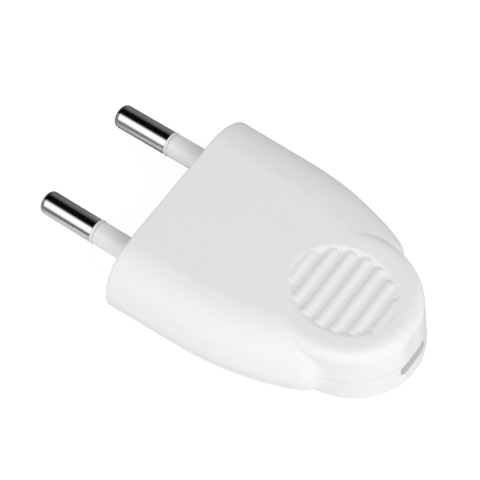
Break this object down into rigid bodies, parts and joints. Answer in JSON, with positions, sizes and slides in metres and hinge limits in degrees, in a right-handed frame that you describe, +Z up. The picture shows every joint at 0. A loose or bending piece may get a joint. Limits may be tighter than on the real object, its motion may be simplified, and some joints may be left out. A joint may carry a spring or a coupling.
{
  "type": "two-pin mains plug",
  "caption": "Flat rewireable mains plug with round sleeved pins, a white screwed housing and a ribbed oval finger grip at the cord end.",
  "frame": {"origin": "centre of the flat front face between the pins, at the level of the pin axes", "axes": "+Y along the pins towards their tips, +X towards the right-hand pin seen from the cord end, +Z up out of the upper cover"},
  "size_m": [0.0366, 0.0632, 0.0146],
  "materials": {
    "housing_plastic": "satin white moulding",
    "sleeve_plastic": "glossy white moulding",
    "pin_plating": "bright nickel plate on brass",
    "terminal_brass": "plain machined brass",
    "screw_steel": "zinc plated",
    "clamp_plastic": "plain white moulding"
  },
  "bodies": {
    "root": {"upper_cover": "housing_plastic", "lower_cover": "housing_plastic", "left_pin": "pin_plating", "right_pin": "pin_plating", "left_sleeve": "sleeve_plastic", "right_sleeve": "sleeve_plastic", "left_terminal": "terminal_brass", "right_terminal": "terminal_brass", "left_terminal_screw": "screw_steel", "right_terminal_screw": "screw_steel", "cord_clamp": "clamp_plastic", "left_clamp_screw": "screw_steel", "right_clamp_screw": "screw_steel", "housing_screw": "screw_steel", "housing_nut": "screw_steel"}
  },
  "joints": []
}
